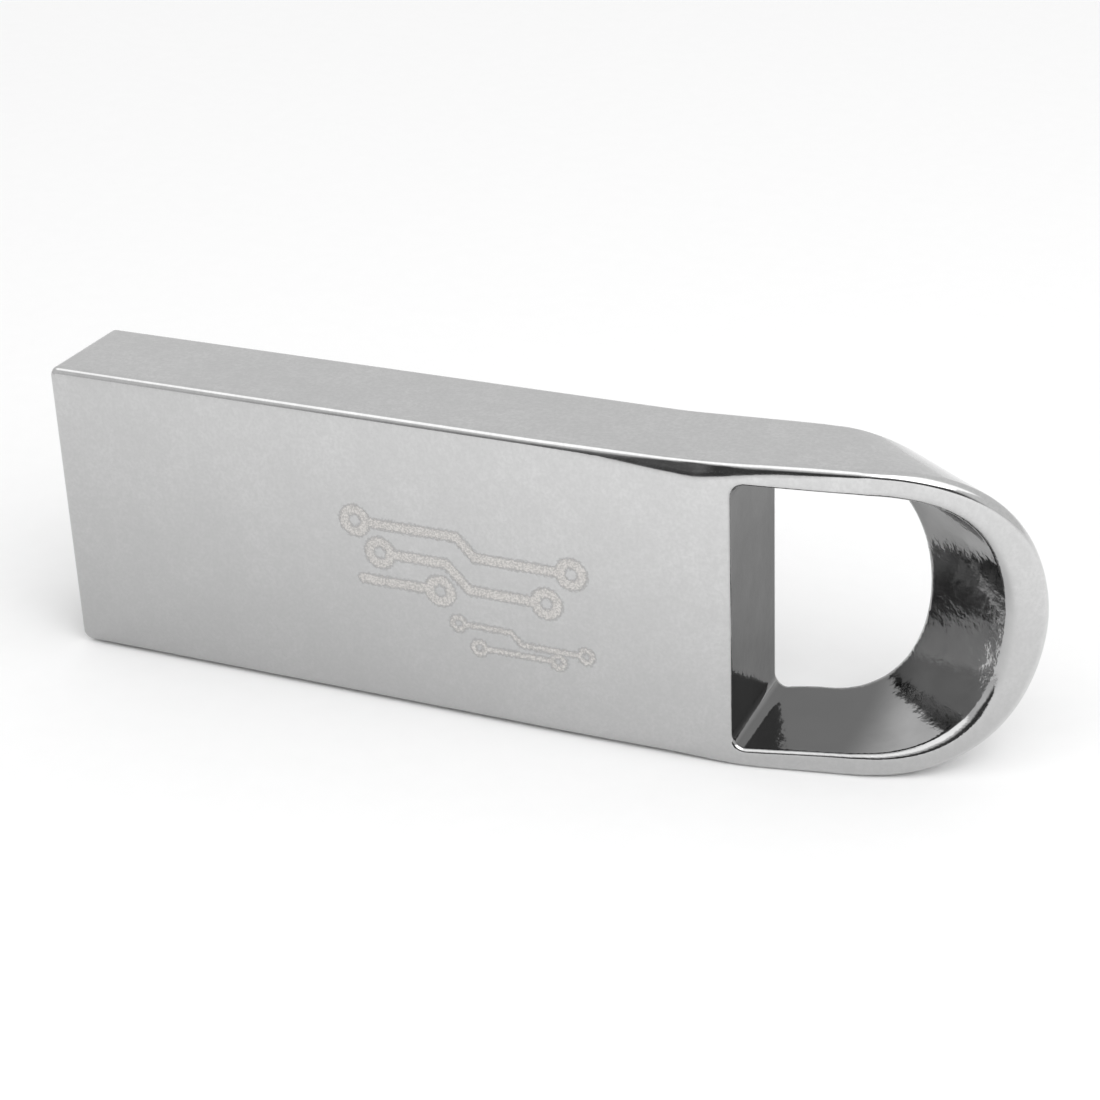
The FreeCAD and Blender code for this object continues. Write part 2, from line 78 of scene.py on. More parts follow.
# An outline's rounded end, at the front and at the back: centre X, length, half width, roundness.
OUTER = ((34.97, 12.83, 6.20, 1.72), (30.49, 6.69, 6.03, 1.76))
HOLE = ((34.33, 9.923, 5.304, 1.825), (29.95, 4.02, 4.90, 2.06))
HOLE_HALF_AT_WALL = (5.36, 5.06)
HOLE_WALL_X, HOLE_CORNER_RADIUS = 28.58, 0.55
HOLE_SIDES_END = 1.1                          # share of the way to the flat wall where the sides stop bending
TIP_SOFTNESS = 0.5                            # mm by which the outline's tip is blunted
EDGE_RADIUS, TIP_EDGE_RADIUS, MOUTH_EDGE_RADIUS, END_CORNER_RADIUS = 0.28, 0.55, 0.27, 0.42
HOLE_EDGE_RADIUS, HOLE_TIP_EDGE_RADIUS, HOLE_BACK_EDGE_RADIUS = 0.18, 0.36, 0.08
BEVEL_EDGE_RADIUS = 0.09
BEVEL_SINK = 0.035                            # how far the bevel lies under its line, for its rounding
CAVITY_EDGE_RADIUS, WINDOW_EDGE_RADIUS = 0.04, 0.03
MOUTH_EDGE_X = (0.05, 0.45)                   # the mouth's edge radius passes into the long edges' here
TIP_END_X = 38.5                              # the tip's edge radius is reached here
HOLE_TIP_X, HOLE_BACK_Y = (32.0, 36.5), (3.6, 4.4)     # the hole's edge radius changes along these
BEVEL_TILT = math.radians(20)
BEVEL_LINE = (
    (21.0, 2.035), (22.5, 2.000), (24.0, 1.962), (25.5, 1.922), (27.1, 1.890),
    (28.2, 1.870), (29.0, 1.805), (30.0, 1.645), (31.4, 1.390), (33.0, 1.125),
)
WINDOW_X, WINDOW_OFFSET, WINDOW_HALF = (5.16, 7.16), 2.85, 1.25

# The grid that the shell is meshed on, as stretches of (start, end, step) along X, Y and half of Z.
X_STRETCHES = (
    (-0.10, 0.50, 0.05), (0.50, 5.05, 0.65), (5.05, 5.29, 0.06), (5.29, 7.03, 0.58), (7.03, 7.27, 0.06),
    (7.27, 20.8, 0.90), (20.8, 25.9, 0.15), (25.9, 26.1, 0.05), (26.1, 39.4, 0.10),
)
Y_STRETCHES = ((-0.10, 0.50, 0.05), (0.50, 4.10, 0.09), (4.10, 4.70, 0.05), (4.70, 6.0, 0.09))
Z_STRETCHES = ((0.0, 5.50, 0.10), (5.50, 6.40, 0.05))
HALVINGS = 12                                 # of a grid edge, to find where the surface crosses it
CORNER_PULL = 0.05                            # how strongly a corner is held to the middle of its crossings
CORNER_STEPS = 2                              # that then move it onto the surface
LEAST_STEEPNESS = 0.2                         # that a field is divided by, so that nothing overshoots
CUT_CLEARANCE = 1.0                           # mm that the mouth's and windows' cuts start outside the metal
# There the hole's painted shade sets in as well, along with the rougher finish of the plug's inner walls.
SKIN_DEPTH = (0.02, 0.16)                     # under the outer skin, where the inner walls' finish sets in

# Noise textures of the plating: scale per metre, detail and roughness.
CLOUD, MOTTLE, GRAIN = (420.0, 3.0, 0.55), (2400.0, 3.0, 0.6), (7000.0, 2.0, 0.6)
HAIRLINES, HAIRLINE_STRETCH = (900.0, 4.0, 0.65), (1.0, 4.0, 12.0)
STIPPLE, RAGGED = (14000.0, 2.0, 0.7), (9000.0, 3.0)
SWELL, CAST_SKIN = (380.0, 1.0, 0.4), (1500.0, 3.0, 0.55)
HAIRLINE_RANGE = (0.35, 0.7)
WIDE, NARROW = (0.3, 0.7), (0.35, 0.65)       # the parts of a noise's values that a ramp runs over

# The plating's tones are linear greys. A share says how far a tone is mixed in; a bump is (strength, mm).
PLATING_TONES = (0.63, 0.67)
MOTTLE_TONE, MOTTLE_SHARE = 0.59, 0.55
GRAIN_TONE, GRAIN_SHARE = 0.56, 0.5
# Painted shade on the front face: its tone, and how much of it shows at the bottom and at the mouth.
FRONT_SHADE_TONE, FRONT_SHADE_AT_BOTTOM, FRONT_SHADE_AT_MOUTH = 0.30, 0.42, 0.20
FRONT_SHADE_Z, FRONT_SHADE_X = (0.5, 11.0), (-19.0, 7.0)       # in mm in the part's frame
PLATING_ROUGHNESS = (0.075, 0.13)
MARK_ROUGHENS, CAVITY_ROUGHENS = 0.33, 0.15            # what the mark and the plug's inner walls add to it
SWELL_BUMP, CAST_BUMP = (1.0, 0.010), (1.0, 0.022)
GRAIN_BUMP, ETCHED_BUMP = (0.35, 0.0016), (0.6, 0.012)
FRONT_FACING, FLAT_WALL_FACING = (0.45, 0.85), (0.6, 0.9)

# The key-ring hole's walls carry painted shade, standing in for the dark surroundings they reflect: round
# wall and flat wall, then the far end of the loop.
HOLE_STARTS_X, LOOP_END_X = (7.0, 8.6), (12.8, 15.2)   # in mm in the part's frame
ROUND_WALL_SHADE_TONE, FLAT_WALL_SHADE_TONE, LOOP_END_SHADE_TONE = 0.19, 0.30, 0.50
# painted shade: darkened tint of the walls' reflections at a glancing angle
ROUND_WALL_GLANCE_SHADE, FLAT_WALL_GLANCE_SHADE = 0.6, 0.46        # tint of reflections at a glancing angle
# Painted dark reflections: darker random patches on the hole's walls.
HOLE_PATCH_SHADE_TONE, HOLE_PATCH_SHADE_SHARE = 0.15, 0.25

# The pieces inside: tones, noise textures and bumps as above. Peaks are the parts of a noise's values
# where a line, a grain or a thread shows.
GOLD_TONES = ((0.86, 0.56, 0.20, 1.0), (0.93, 0.66, 0.29, 1.0))
GOLD_CLOUD = (700.0, 2.0)
GOLD_LINES, GOLD_LINE_STRETCH = (2600.0, 3.0, 0.6), (0.12, 1.0, 3.0)
GOLD_LINE_TONE, GOLD_LINE_PEAKS, GOLD_LINE_SHARE = (0.62, 0.38, 0.13, 1.0), (0.55, 0.8), 0.4
GOLD_ROUGHNESS, GOLD_BUMP = (0.16, 0.30), (0.5, 0.002)

# Each black piece has its own tone, which its clouds and its grain multiply.
BLACK_CLOUD, BLACK_CLOUD_TONE = (500.0, 2.0), 1.5
BLACK_GRAIN_FORM, BLACK_GRAIN_PEAKS = (4.0, 0.6), (0.62, 0.78)
BLACK_GRAIN_TONE, BLACK_GRAIN_SHARE = 3.0, 0.5
BLACK_ROUGHNESS_SPREAD, BLACK_BUMP = 0.08, (0.5, 0.006)

GLUE_TONES = ((0.78, 0.68, 0.45, 1.0), (0.88, 0.82, 0.62, 1.0))
GLUE_CLOUD, GLUE_ROUGHNESS, GLUE_BUMP = (1500.0, 3.0), (0.15, 0.4), (0.5, 0.01)

RESIST_TONES = ((0.012, 0.10, 0.045, 1.0), (0.020, 0.15, 0.065, 1.0))
RESIST_CLOUD, RESIST_ROUGHNESS = (900.0, 2.0), (0.32, 0.45)
WEAVE_SCALE, WEAVE_DISTORTION, WEAVE_DETAIL = 700.0, 0.6, 1.0
WEAVE_TONE, WEAVE_PEAKS, WEAVE_SHARE = (0.05, 0.22, 0.10, 1.0), (0.4, 0.9), 0.35
WEAVE_BUMP = (0.3, 0.004)

CIRCUIT_TONES = ((0.18, 0.06), (0.13, -0.12))          # (grey, warmth) of the blocks of circuits
CIRCUIT_GAP_TONE, CIRCUIT_GAP, CIRCUIT_SCALE = 0.35, 0.01, 900.0
SILICON_CLOUD, SILICON_CLOUD_PEAKS = (800.0, 2.0), (0.3, 0.8)
SILICON_CLOUD_TONE, SILICON_CLOUD_SHARE = (0.22, -0.15), 0.4
SILICON_ROUGHNESS, SILICON_BUMP = (0.10, 0.2), (0.2, 0.002)

SPECKLE_FORM, SPECKLE_ROUGHNESS_SPREAD, SPECKLE_STRENGTH = (3.0, 0.6), 0.06, 0.4
FILM_TONES = ((0.35, 0.20, 0.06, 1.0), (0.45, 0.28, 0.10, 1.0))
CERAMIC_TONES = ((0.33, 0.22, 0.13, 1.0), (0.42, 0.29, 0.18, 1.0))

# The laser mark on the front face: plain circuit traces that end in rings, in mm in the part's frame (X, Z).
MARK_REACH_Y = -2.80                          # only what lies in front of this takes the mark
MARK_RAGGED, MARK_SOFT = 0.045, 0.03          # how far its edge strays and blurs
MARK_EDGE_WIDTH = (0.02, 0.08)                # where the burnt edge starts to fade and where it ends
MARK_TONES, MARK_SHARE = ((0.46, 0.03), (0.72, 0.035)), 0.8    # (grey, warmth) of its stipple
MARK_EDGE_TONE, MARK_EDGE_SHARE = 0.34, 0.55
BIG_STROKE, SMALL_STROKE = 0.42, 0.24
BIG_TRACES = (
    ((-5.75, 7.75), (-1.90, 7.75), (-1.15, 7.00), (2.35, 7.00)),
    ((-4.75, 6.55), (-2.40, 6.55), (-1.45, 5.60), (1.30, 5.60)),
    ((-6.00, 5.35), (-3.15, 5.35)),
)
BIG_RINGS = ((-6.20, 7.75), (2.80, 7.00), (-5.20, 6.55), (1.75, 5.60), (-2.70, 5.35))
BIG_RING_RADIUS = 0.45
SMALL_TRACES = (
    ((-1.75, 4.10), (0.20, 4.10), (0.65, 3.65), (3.05, 3.65)),
    ((-0.90, 3.20), (1.90, 3.20)),
)
SMALL_RINGS = ((-2.00, 4.10), (3.30, 3.65), (-1.15, 3.20), (2.15, 3.20))
SMALL_RING_RADIUS = 0.25
MARK_GROUPS = (
    (BIG_TRACES, BIG_RINGS, BIG_RING_RADIUS, BIG_STROKE),
    (SMALL_TRACES, SMALL_RINGS, SMALL_RING_RADIUS, SMALL_STROKE),
)


# ---------------------------------------------------------------- node helpers

class Nodes:
    """A small wrapper that makes nodes of one tree and joins them by value or by socket."""

    def __init__(self, tree):
        self.tree = tree

    def put(self, socket, value):
        if isinstance(value, bpy.types.NodeSocket):
            self.tree.links.new(value, socket)
        else:
            socket.default_value = value

    def make(self, kind, inputs=None, **settings):
        node = self.tree.nodes.new(kind)
        for name, value in settings.items():
            setattr(node, name, value)
        for name, value in (inputs or {}).items():
            self.put(node.inputs[name], value)
        return node

    def math(self, operation, a, b=0.0, clamp=False):
        node = self.make("ShaderNodeMath", {0: a, 1: b}, operation=operation, use_clamp=clamp)
        return node.outputs[0]

    def vector(self, operation, a, b=(0.0, 0.0, 0.0)):
        node = self.make("ShaderNodeVectorMath", {0: a, 1: b}, operation=operation)
        return node.outputs["Value" if operation in ("DOT_PRODUCT", "DISTANCE", "LENGTH") else "Vector"]

    def ramp(self, value, low, high, to_low=0.0, to_high=1.0, smooth=True):
        node = self.make(
            "ShaderNodeMapRange",
            {"Value": value, "From Min": low, "From Max": high, "To Min": to_low, "To Max": to_high},
            interpolation_type="SMOOTHSTEP" if smooth else "LINEAR",
        )
        return node.outputs["Result"]

    def mix(self, factor, a, b):
        node = self.make("ShaderNodeMix", data_type="RGBA")
        for index, value in ((0, factor), (6, a), (7, b)):
            self.put(node.inputs[index], value)
        return node.outputs[2]

    def noise(self, place, scale, detail=2.0, roughness=0.5, stretch=None):
        if stretch:
            place = self.vector("MULTIPLY", place, stretch)
        node = self.make(
            "ShaderNodeTexNoise",
            {"Vector": place, "Scale": scale, "Detail": detail, "Roughness": roughness},
        )
        return node.outputs["Fac"]

    def bump(self, height, strength, depth_mm, normal=None):
        inputs = {"Height": height, "Strength": strength, "Distance": depth_mm * MM}
        node = self.make("ShaderNodeBump", inputs)
        if normal is not None:
            self.put(node.inputs["Normal"], normal)
        return node.outputs["Normal"]


def new_material(name, **shader_values):
    """A material with one Principled shader; values that are the same all over sit on its own sockets."""
    material = bpy.data.materials.new(name)
    material.use_nodes = True
    tree = material.node_tree
    shader = tree.nodes["Principled BSDF"]
    for socket, value in shader_values.items():
        shader.inputs[socket.replace("_", " ")].default_value = value
    nodes = Nodes(tree)
    place = nodes.make("ShaderNodeTexCoord").outputs["Object"]
    return material, nodes, shader, place


def grey(value, warmth=0.0):
    return (value * (1 + warmth), value, value * (1 - warmth), 1.0)


def metres(span):
    return [value * MM for value in span]


def turned_towards(nodes, direction, low, high):
    """1 where the surface faces a direction of the part's frame and 0 where it doesn't."""
    normal = nodes.make("ShaderNodeTexCoord").outputs["Normal"]
    return nodes.ramp(nodes.vector("DOT_PRODUCT", normal, direction), low, high)


# ---------------------------------------------------------------- materials

def segment_distance(nodes, place, start, end):
    """Distance on the front face from a straight stroke's centre line."""
    a = Vector((start[0], 0.0, start[1])) * MM
    run = Vector((end[0], 0.0, end[1])) * MM - a
    from_start = nodes.vector("SUBTRACT", place, a)
    reach = nodes.vector("DOT_PRODUCT", from_start, run)
    share = nodes.math("MULTIPLY", reach, 1.0 / run.length_squared, clamp=True)
    along = nodes.make("ShaderNodeVectorMath", {0: run, "Scale": share}, operation="SCALE").outputs["Vector"]
    return nodes.vector("DISTANCE", from_start, along)


def ring_distance(nodes, place, centre, radius):
    """Distance on the front face from a ring's centre line."""
    away = nodes.vector("DISTANCE", place, Vector((centre[0], 0.0, centre[1])) * MM)
    return nodes.math("ABSOLUTE", nodes.math("SUBTRACT", away, radius * MM))


def mark_distance(nodes, place, traces, rings, radius):
    """Distance from the nearest trace or ring of one group."""
    distances = [
        segment_distance(nodes, place, start, end)
        for trace in traces
        for start, end in zip(trace, trace[1:])
    ]
    distances += [ring_distance(nodes, place, centre, radius) for centre in rings]
    nearest = distances[0]
    for distance in distances[1:]:
        nearest = nodes.math("MINIMUM", nearest, distance)
    return nearest


def laser_mark(nodes, place):
    """How much of the laser's matt fill, and of its darker burnt edge, covers a point of the body."""
    on_face = nodes.vector("MULTIPLY", place, (1.0, 0.0, 1.0))
    ragged = nodes.ramp(nodes.noise(place, *RAGGED), *WIDE, -MARK_RAGGED * MM, MARK_RAGGED * MM)
    depth = nodes.make("ShaderNodeSeparateXYZ", {0: place}).outputs["Y"]
    at_front = nodes.math("LESS_THAN", depth, MARK_REACH_Y * MM)
    fills, edges = [], []
    for traces, rings, radius, stroke in MARK_GROUPS:
        half = stroke / 2
        distance = nodes.math("ADD", mark_distance(nodes, on_face, traces, rings, radius), ragged)
        fills.append(nodes.ramp(distance, *metres((half - MARK_SOFT, half + MARK_SOFT)), 1.0, 0.0))
        off_edge = nodes.math("ABSOLUTE", nodes.math("SUBTRACT", distance, half * MM))
        edges.append(nodes.ramp(off_edge, *metres(MARK_EDGE_WIDTH), 1.0, 0.0))
    return [nodes.math("MULTIPLY", nodes.math("MAXIMUM", *shares), at_front) for shares in (fills, edges)]


def painted_front_shade(nodes, place):
    """How far painted shade darkens the plating: only on the front, more towards the mouth and the bottom,
    standing in for the darker floor that the front reflects there.
    """
    front = turned_towards(nodes, (0.0, -1.0, 0.0), *FRONT_FACING)
    along, _, up = nodes.make("ShaderNodeSeparateXYZ", {0: place}).outputs
    from_bottom = nodes.ramp(up, *metres(FRONT_SHADE_Z), FRONT_SHADE_AT_BOTTOM, 0.0, smooth=False)
    from_mouth = nodes.ramp(along, *metres(FRONT_SHADE_X), FRONT_SHADE_AT_MOUTH, 0.0, smooth=False)
    return nodes.math("MULTIPLY", nodes.math("ADD", from_bottom, from_mouth), front)


def plating_colour(nodes, place, cloud, grain, stipple, fill, edge):
    """Mottled nickel, darkened on the front by painted shade, under the mark's pale stippled fill and its
    darker edge.
    """
    metal = nodes.mix(nodes.ramp(cloud, *WIDE), *map(grey, PLATING_TONES))
    mottle = nodes.ramp(nodes.noise(place, *MOTTLE), *NARROW, 0.0, MOTTLE_SHARE)
    metal = nodes.mix(mottle, metal, grey(MOTTLE_TONE))
    metal = nodes.mix(nodes.ramp(grain, *NARROW, 0.0, GRAIN_SHARE), metal, grey(GRAIN_TONE))
    # painted shade: the front is darkened towards the bottom and the mouth
    metal = nodes.mix(painted_front_shade(nodes, place), metal, grey(FRONT_SHADE_TONE))
    matt = nodes.mix(nodes.ramp(stipple, *NARROW), *[grey(*tone) for tone in MARK_TONES])
    metal = nodes.mix(nodes.math("MULTIPLY", fill, MARK_SHARE), metal, matt)
    return nodes.mix(nodes.math("MULTIPLY", edge, MARK_EDGE_SHARE), metal, grey(MARK_EDGE_TONE))


def hole_wall_shade(nodes, along, cloud):
    """Painted shade on the key-ring hole's walls: their darkened colour and the darkened tint of what they
    reflect at a glancing angle.
    """
    flat_wall = turned_towards(nodes, (1.0, 0.0, 0.0), *FLAT_WALL_FACING)
    wall = nodes.mix(flat_wall, grey(ROUND_WALL_SHADE_TONE), grey(FLAT_WALL_SHADE_TONE))
    wall = nodes.mix(nodes.ramp(along, *metres(LOOP_END_X)), wall, grey(LOOP_END_SHADE_TONE))
    # painted dark reflections as darker random patches
    wall = nodes.mix(nodes.ramp(cloud, *WIDE, 0.0, HOLE_PATCH_SHADE_SHARE), wall, grey(HOLE_PATCH_SHADE_TONE))
    return wall, nodes.mix(flat_wall, grey(ROUND_WALL_GLANCE_SHADE), grey(FLAT_WALL_GLANCE_SHADE))


def polished_body():
    """Bright nickel plating over a polished zinc casting, with the laser mark on its front, painted shade on
    the front and painted shade in the key-ring hole.
    """
    material, nodes, shader, place = new_material("body_metal_plated", Metallic=1.0)
    cloud, grain, stipple = [nodes.noise(place, *noise) for noise in (CLOUD, GRAIN, STIPPLE)]
    fill, edge = laser_mark(nodes, place)
    along = nodes.make("ShaderNodeSeparateXYZ", {0: place}).outputs["X"]
    under_skin = nodes.make("ShaderNodeAttribute", attribute_name="under_skin").outputs["Fac"]
    in_hole = nodes.math("MULTIPLY", under_skin, nodes.ramp(along, *metres(HOLE_STARTS_X)))
    in_cavity = nodes.math("SUBTRACT", under_skin, in_hole)

    plating = plating_colour(nodes, place, cloud, grain, stipple, fill, edge)
    wall, glance = hole_wall_shade(nodes, along, cloud)
    # painted shade and painted dark reflections on the key-ring hole's walls
    nodes.put(shader.inputs["Base Color"], nodes.mix(in_hole, plating, wall))
    nodes.put(shader.inputs["Specular Tint"], nodes.mix(in_hole, grey(1.0), glance))

    hairlines = nodes.noise(place, *HAIRLINES, stretch=HAIRLINE_STRETCH)
    rough = nodes.ramp(hairlines, *HAIRLINE_RANGE, *PLATING_ROUGHNESS)
    rough = nodes.math("ADD", rough, nodes.math("MULTIPLY", fill, MARK_ROUGHENS))
    rough = nodes.math("ADD", rough, nodes.math("MULTIPLY", in_cavity, CAVITY_ROUGHENS))
    nodes.put(shader.inputs["Roughness"], rough)

    normal = nodes.bump(nodes.noise(place, *SWELL), *SWELL_BUMP)
    cast_skin = nodes.math("MULTIPLY", nodes.noise(place, *CAST_SKIN), in_hole)
    normal = nodes.bump(cast_skin, *CAST_BUMP, normal)
    normal = nodes.bump(grain, *GRAIN_BUMP, normal)
    normal = nodes.bump(nodes.math("MULTIPLY", stipple, fill), *ETCHED_BUMP, normal)
    nodes.put(shader.inputs["Normal"], normal)
    return material


def gold():
    """Gold flash over nickel on the contacts, wires and pads, with fine rolling lines along the plug."""
    material, nodes, shader, place = new_material("contact_gold", Metallic=1.0)
    lines = nodes.noise(place, *GOLD_LINES, stretch=GOLD_LINE_STRETCH)
    colour = nodes.mix(nodes.ramp(nodes.noise(place, *GOLD_CLOUD), *WIDE), *GOLD_TONES)
    in_line = nodes.ramp(lines, *GOLD_LINE_PEAKS, 0.0, GOLD_LINE_SHARE)
    colour = nodes.mix(in_line, colour, GOLD_LINE_TONE)
    nodes.put(shader.inputs["Base Color"], colour)
    nodes.put(shader.inputs["Roughness"], nodes.ramp(lines, *WIDE, *GOLD_ROUGHNESS))
    nodes.put(shader.inputs["Normal"], nodes.bump(lines, *GOLD_BUMP))
    return material


def moulded_black(name, tone, grain_scale, roughness, gloss=0.5):
    """Black moulded plastic or epoxy with a fine grain."""
    material, nodes, shader, place = new_material(name, Specular_IOR_Level=gloss)
    grain = nodes.noise(place, grain_scale, *BLACK_GRAIN_FORM)
    smoothest, roughest = roughness - BLACK_ROUGHNESS_SPREAD, roughness + BLACK_ROUGHNESS_SPREAD
    clouded = nodes.ramp(nodes.noise(place, *BLACK_CLOUD), *WIDE)
    colour = nodes.mix(clouded, grey(tone), grey(tone * BLACK_CLOUD_TONE))
    on_grain = nodes.ramp(grain, *BLACK_GRAIN_PEAKS, 0.0, BLACK_GRAIN_SHARE)
    colour = nodes.mix(on_grain, colour, grey(tone * BLACK_GRAIN_TONE))
    nodes.put(shader.inputs["Base Color"], colour)
    nodes.put(shader.inputs["Roughness"], nodes.ramp(grain, *WIDE, smoothest, roughest))
    nodes.put(shader.inputs["Normal"], nodes.bump(grain, *BLACK_BUMP))
    return material


def glue():
    """Clear amber adhesive."""
    material, nodes, shader, place = new_material("clear_glue", Transmission_Weight=0.5, IOR=1.48)
    cloud = nodes.noise(place, *GLUE_CLOUD)
    nodes.put(shader.inputs["Base Color"], nodes.mix(nodes.ramp(cloud, *WIDE), *GLUE_TONES))
    nodes.put(shader.inputs["Roughness"], nodes.ramp(cloud, *WIDE, *GLUE_ROUGHNESS))
    nodes.put(shader.inputs["Normal"], nodes.bump(cloud, *GLUE_BUMP))
    return material


def board_laminate():
    """Glass-epoxy laminate under green solder resist, with its weave just showing."""
    material, nodes, shader, place = new_material("green_laminate", Coat_Weight=0.3, Coat_Roughness=0.15)
    threads = {
        "Vector": place,
        "Scale": WEAVE_SCALE,
        "Distortion": WEAVE_DISTORTION,
        "Detail": WEAVE_DETAIL,
    }
    waves = [nodes.make("ShaderNodeTexWave", threads, bands_direction=axis).outputs["Fac"] for axis in "XZ"]
    weave = nodes.math("MULTIPLY", *waves)
    cloud = nodes.noise(place, *RESIST_CLOUD)
    colour = nodes.mix(nodes.ramp(cloud, *WIDE), *RESIST_TONES)
    colour = nodes.mix(nodes.ramp(weave, *WEAVE_PEAKS, 0.0, WEAVE_SHARE), colour, WEAVE_TONE)
    nodes.put(shader.inputs["Base Color"], colour)
    nodes.put(shader.inputs["Roughness"], nodes.ramp(cloud, *WIDE, *RESIST_ROUGHNESS))
    nodes.put(shader.inputs["Normal"], nodes.bump(weave, *WEAVE_BUMP))
    return material


def silicon():
    """Polished silicon with the faint grid of its circuits."""
    material, nodes, shader, place = new_material("polished_silicon", Metallic=0.6)
    first_tone, second_tone = [grey(*tone) for tone in CIRCUIT_TONES]
    blocks = nodes.make(
        "ShaderNodeTexBrick",
        {
            "Vector": nodes.vector("MULTIPLY", place, (1.0, 0.0, 1.0)),
            "Scale": CIRCUIT_SCALE,
            "Mortar Size": CIRCUIT_GAP,
            "Color1": first_tone,
            "Color2": second_tone,
            "Mortar": grey(CIRCUIT_GAP_TONE),
        },
    ).outputs["Color"]
    cloud = nodes.noise(place, *SILICON_CLOUD)
    clouded = nodes.ramp(cloud, *SILICON_CLOUD_PEAKS, 0.0, SILICON_CLOUD_SHARE)
    colour = nodes.mix(clouded, blocks, grey(*SILICON_CLOUD_TONE))
    nodes.put(shader.inputs["Base Color"], colour)
    nodes.put(shader.inputs["Roughness"], nodes.ramp(cloud, *WIDE, *SILICON_ROUGHNESS))
    nodes.put(shader.inputs["Normal"], nodes.bump(cloud, *SILICON_BUMP))
    return material


def speckled(name, low, high, scale, roughness, metallic=0.0, depth_mm=0.004):
    """A two-tone speckle: film, fired ceramic, plated can or solder, by its colours and grain."""
    material, nodes, shader, place = new_material(name, Metallic=metallic)
    grain = nodes.noise(place, scale, *SPECKLE_FORM)
    smoothest, roughest = roughness - SPECKLE_ROUGHNESS_SPREAD, roughness + SPECKLE_ROUGHNESS_SPREAD
    nodes.put(shader.inputs["Base Color"], nodes.mix(nodes.ramp(grain, *WIDE), low, high))
    nodes.put(shader.inputs["Roughness"], nodes.ramp(grain, *WIDE, smoothest, roughest))
    nodes.put(shader.inputs["Normal"], nodes.bump(grain, SPECKLE_STRENGTH, depth_mm))
    return material


def dress_the_drive():
    """Gives every piece the finish of its material slot."""
    finishes = {
        "body_metal": speckled("body_metal_plain", grey(0.6), grey(0.66), 3000.0, 0.12, 1.0),
        "gold": gold(),
        "carrier_plastic": moulded_black("black_plastic", 0.018, 5000.0, 0.42),
        "mould_epoxy": moulded_black("mould_epoxy_fill", 0.012, 9000.0, 0.55, 0.4),
        "glue": glue(),
        "board_laminate": board_laminate(),
        "silicon": silicon(),
        "attach_film": speckled("attach_film_amber", *FILM_TONES, 2500.0, 0.5),
        "crystal_can": speckled("nickel_can", grey(0.60, 0.01), grey(0.70, 0.01), 3500.0, 0.25, 1.0),
        "capacitor_ceramic": speckled("tan_ceramic", *CERAMIC_TONES, 9000.0, 0.5),
        "resistor_body": speckled("resistor_black", grey(0.015), grey(0.035), 9000.0, 0.4),
        "solder": speckled("tin_solder", grey(0.55), grey(0.72), 5000.0, 0.3, 1.0, 0.008),
    }
    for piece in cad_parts.values():
        for slot in piece.material_slots:
            slot.material = finishes[slot.material.name]


# ---------------------------------------------------------------- the metal shell

def both(a, b, radius):
    """Inside both fields, with the edge between them rounded."""
    beyond = np.hypot(np.maximum(a + radius, 0), np.maximum(b + radius, 0))
    return np.minimum(np.maximum(a, b), -radius) + beyond


def ease(value, low, high):
    share = np.clip((value - low) / (high - low), 0.0, 1.0)
    return share * share * (3 - 2 * share)


def between(pair, share):
    return pair[0] + (pair[1] - pair[0]) * share


def smooth_line(x, points):
    """A smooth curve through points, as y over x, straight on beyond its ends."""
    knots, values = np.array(points).T
    slopes = np.gradient(values, knots)
    index = np.clip(np.searchsorted(knots, x) - 1, 0, len(knots) - 2)
    width = knots[index + 1] - knots[index]
    share = np.clip((x - knots[index]) / width, 0.0, 1.0)
    rest = 1 - share
    start = values[index] * (1 + 2 * share) + slopes[index] * width * share
    end = values[index + 1] * (1 + 2 * rest) - slopes[index + 1] * width * rest
    return start * rest**2 + end * share**2


def bent(x, start, radius, angle):
    """Rise and slope of a profile that is level, bends by an angle and runs on straight."""
    run = np.clip(x - start, 0.0, radius * math.sin(angle))
    height = np.sqrt(radius**2 - run**2)
    beyond = np.maximum(x - start - radius * math.sin(angle), 0.0)
    return radius - height + beyond * math.tan(angle), run / height


def front_face(x, y):
    """Distance in front of the large front face: flat, bent back, straight, curled."""
    rise, slope = bent(x, FRONT_BEND_X, FRONT_BEND_RADIUS, FRONT_SLOPE)
    curl_y, _ = bent(FRONT_CURL_X, FRONT_BEND_X, FRONT_BEND_RADIUS, FRONT_SLOPE)
    centre_x = FRONT_CURL_X - FRONT_CURL_RADIUS * math.sin(FRONT_SLOPE)
    centre_y = curl_y + FRONT_CURL_RADIUS * math.cos(FRONT_SLOPE)
    before_curl = (rise - y) / np.sqrt(1 + slope**2)
    in_curl = np.hypot(x - centre_x, y - centre_y) - FRONT_CURL_RADIUS
    return np.where(x > FRONT_CURL_X + (curl_y - y) * math.tan(FRONT_SLOPE), in_curl, before_curl)


def back_face(x, y):
    rise, slope = bent(x, BACK_BEND_X, BACK_BEND_RADIUS, BACK_SLOPE)
    return (y - THICKNESS - rise) / np.sqrt(1 + slope**2)


def rounded_end(x, z, outline, share, half):
    """Height over an outline with straight sides and a rounded end; 0 on the outline itself."""
    centre, length, end_half, roundness = [between(pair, share) for pair in zip(*outline)]
    past_centre = 1 - ease(centre - x, 0.0, 1.0)
    across = np.hypot(z, TIP_SOFTNESS * past_centre) / np.where(x > centre, end_half, half)
    ahead = np.maximum(x - centre, 0.0) / length
    return ((ahead**roundness + across**roundness) ** (1 / roundness) - 1) * end_half


def outer_side(x, y, z):
    share = y / OUTLINE_SPACING
    _, _, end_half, _ = [between(pair, share) for pair in zip(*OUTER)]
    half = between((HALF_WIDTH, end_half), ease(x, FLARE_START_X, FLARE_END_X))
    return rounded_end(x, z, OUTER, share, half)


